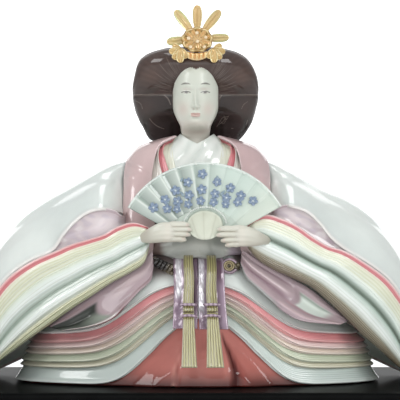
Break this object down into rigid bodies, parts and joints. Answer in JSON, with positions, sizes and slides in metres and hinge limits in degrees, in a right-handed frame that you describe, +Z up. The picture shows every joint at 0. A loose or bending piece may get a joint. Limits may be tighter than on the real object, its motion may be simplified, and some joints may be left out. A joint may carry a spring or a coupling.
{
  "type": "hina doll",
  "caption": "Seated court-lady festival doll in glazed porcelain, with layered robes, wide sleeves, a folding fan and a gold crown, on a low black lacquered board.",
  "frame": {"origin": "on the table plane under the middle of the stand", "axes": "+X to the viewer's right along the stand's long side, +Y to the doll's back, +Z up; the doll faces -Y"},
  "size_m": [0.38, 0.23, 0.2784],
  "materials": {
    "felt_black": "matte",
    "glaze_bronze": "gloss",
    "glaze_celadon": "gloss",
    "glaze_coral": "gloss",
    "glaze_cream": "gloss",
    "glaze_green": "gloss",
    "glaze_hair": "gloss",
    "glaze_mauve": "gloss",
    "glaze_mint": "gloss",
    "glaze_olive_gold": "gloss",
    "glaze_peach": "gloss",
    "glaze_pink": "gloss",
    "glaze_rose_red": "gloss",
    "lacquer_black": "polished",
    "lustre_gold": "polished",
    "lustre_lilac": "gloss",
    "porcelain_skin": "gloss",
    "porcelain_white": "gloss",
    "wood_dowel": "satin"
  },
  "bodies": {
    "stand": {"stand_board": "lacquer_black", "stand_felt": "felt_black", "locating_dowel_left": "wood_dowel", "locating_dowel_right": "wood_dowel"},
    "figure": {"body_core": "porcelain_white", "hakama_skirt": "glaze_coral", "hem_layer_1_mint": "glaze_mint", "hem_layer_2_cream": "glaze_cream", "hem_layer_3_green": "glaze_green", "hem_layer_4_peach": "glaze_peach", "hem_layer_5_pink": "glaze_pink", "hem_layer_6_red": "glaze_rose_red", "outer_robe_skirt": "porcelain_white", "train_mo": "glaze_mint", "waist_sash": "porcelain_white", "ribbon_band_left": "lustre_lilac", "ribbon_band_right": "lustre_lilac", "cord_strap_left": "glaze_olive_gold", "cord_strap_right": "glaze_olive_gold", "tassel_left": "glaze_olive_gold", "tassel_right": "glaze_olive_gold", "cord_knot_left": "glaze_bronze", "cord_knot_right": "glaze_bronze", "jacket_front_left": "glaze_mauve", "jacket_front_right": "glaze_mauve", "jacket_back": "glaze_mauve", "jacket_tail_left": "glaze_mauve", "jacket_tail_right": "glaze_mauve", "collar_1_white": "porcelain_white", "collar_2_cream": "glaze_cream", "collar_3_red": "glaze_rose_red", "collar_4_white": "porcelain_white", "outer_sleeve_left": "porcelain_white", "outer_sleeve_right": "porcelain_white", "sleeve_lining_left": "glaze_mauve", "sleeve_lining_right": "glaze_mauve", "hand_left": "porcelain_skin", "hand_right": "porcelain_skin", "hair_tail": "glaze_hair", "sleeve_layer_red_left": "glaze_rose_red", "sleeve_layer_green_left": "glaze_green", "sleeve_layer_white_left": "porcelain_white", "sleeve_layer_mint_left": "glaze_mint", "sleeve_layer_red_right": "glaze_rose_red", "sleeve_layer_green_right": "glaze_green", "sleeve_layer_white_right": "porcelain_white", "sleeve_layer_mint_right": "glaze_mint"},
    "head": {"head": "porcelain_skin", "hair_wings": "glaze_hair", "hair_lobes": "glaze_hair"},
    "crown": {"crown_rays": "lustre_gold", "crown_boss": "lustre_gold", "crown_band": "lustre_gold", "crown_pin": "lustre_gold"},
    "fan": {"fan_leaf": "glaze_celadon", "fan_sticks": "glaze_cream"}
  },
  "joints": [
    {"name": "figure_lift", "type": "slide", "parent": "stand", "child": "figure", "axis": [0, 0, 1], "range_m": [0, 0.02]},
    {"name": "head_turn", "type": "hinge", "parent": "figure", "child": "head", "pos_m": [-0.001, -0.011, 0.185], "axis": [0, 0, 1], "range_deg": [-8, 8]},
    {"name": "crown_lift", "type": "slide", "parent": "head", "child": "crown", "axis": [0, 0, 1], "range_m": [0, 0.012]},
    {"name": "fan_slide", "type": "slide", "parent": "figure", "child": "fan", "axis": [0, 0.1392, 0.9903], "range_m": [0, 0.025]}
  ]
}
